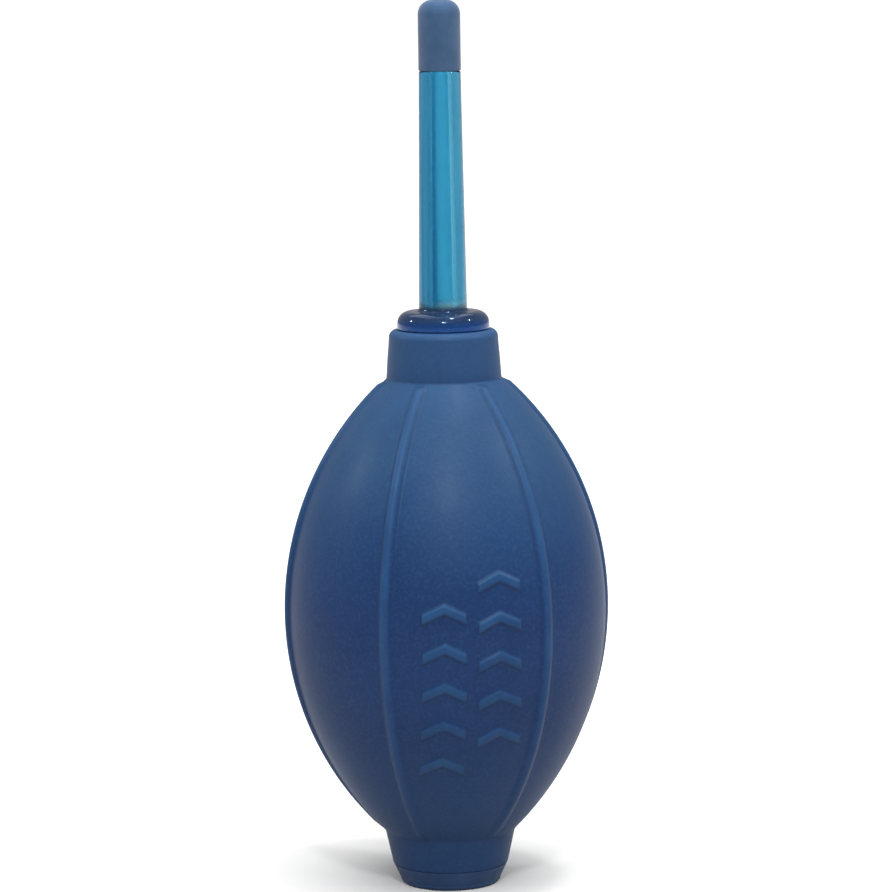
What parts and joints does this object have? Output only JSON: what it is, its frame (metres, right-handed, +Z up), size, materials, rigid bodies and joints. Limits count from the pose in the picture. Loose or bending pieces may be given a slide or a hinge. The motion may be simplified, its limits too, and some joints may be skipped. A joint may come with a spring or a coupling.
{
  "type": "dust blower bulb",
  "caption": "Ribbed squeeze bulb that stands on its tail and blows air from a slim clear nozzle with a soft tip.",
  "frame": {"origin": "middle of the flat foot, on the surface that the blower stands on", "axes": "+Z up along the bulb and nozzle; -Y towards the front wall, which has the grip marks"},
  "size_m": [0.061, 0.0596, 0.165],
  "materials": {
    "bulb_rubber": "satin moulded rubber, dark blue",
    "tip_rubber": "matte moulded rubber, slate blue",
    "nozzle_plastic": "clear polished, bright blue",
    "cap_plastic": "satin moulded, dark blue",
    "valve_plastic": "moulded, milky white",
    "flap_rubber": "thin silicone sheet, milky",
    "seal_rubber": "black nitrile",
    "filter_felt": "white needled felt"
  },
  "bodies": {
    "bulb": {"bulb_shell": "bulb_rubber", "neck_bush": "valve_plastic", "outlet_valve_seat": "valve_plastic", "outlet_flap_washer": "valve_plastic", "inlet_valve_housing": "valve_plastic", "inlet_valve_seat": "valve_plastic", "inlet_flap_washer": "valve_plastic"},
    "front_wall": {"bulb_front_wall": "bulb_rubber"},
    "rear_wall": {"bulb_rear_wall": "bulb_rubber"},
    "nozzle_seal": {"nozzle_o_ring": "seal_rubber"},
    "nozzle": {"nozzle": "nozzle_plastic"},
    "tip": {"tip_sleeve": "tip_rubber"},
    "outlet_flap": {"outlet_valve_flap": "flap_rubber"},
    "inlet_flap": {"inlet_valve_flap": "flap_rubber"},
    "base_cap": {"base_cap": "cap_plastic", "filter_disc": "filter_felt", "filter_grille": "valve_plastic"}
  },
  "joints": [
    {"name": "front_squeeze", "type": "slide", "parent": "bulb", "child": "front_wall", "axis": [0, 1, 0], "range_m": [0, 0.012], "stiffness_N_per_m": 1200},
    {"name": "rear_squeeze", "type": "slide", "parent": "bulb", "child": "rear_wall", "axis": [0, -1, 0], "range_m": [0, 0.012], "stiffness_N_per_m": 1200},
    {"name": "nozzle_pull", "type": "slide", "parent": "bulb", "child": "nozzle_seal", "axis": [0, 0, 1], "range_m": [0, 0.012]},
    {"name": "nozzle_swivel", "type": "hinge", "parent": "nozzle_seal", "child": "nozzle", "pos_m": [0, 0, 0.1016], "axis": [0, 0, 1], "continuous": true},
    {"name": "tip_pull", "type": "slide", "parent": "nozzle", "child": "tip", "axis": [0, 0, 1], "range_m": [0, 0.014]},
    {"name": "outlet_valve_lift", "type": "slide", "parent": "bulb", "child": "outlet_flap", "axis": [0, 0, 1], "range_m": [0, 0.001]},
    {"name": "inlet_valve_lift", "type": "slide", "parent": "bulb", "child": "inlet_flap", "axis": [0, 0, 1], "range_m": [0, 0.0012]},
    {"name": "base_cap_pull", "type": "slide", "parent": "bulb", "child": "base_cap", "axis": [0, 0, -1], "range_m": [0, 0.008]}
  ]
}
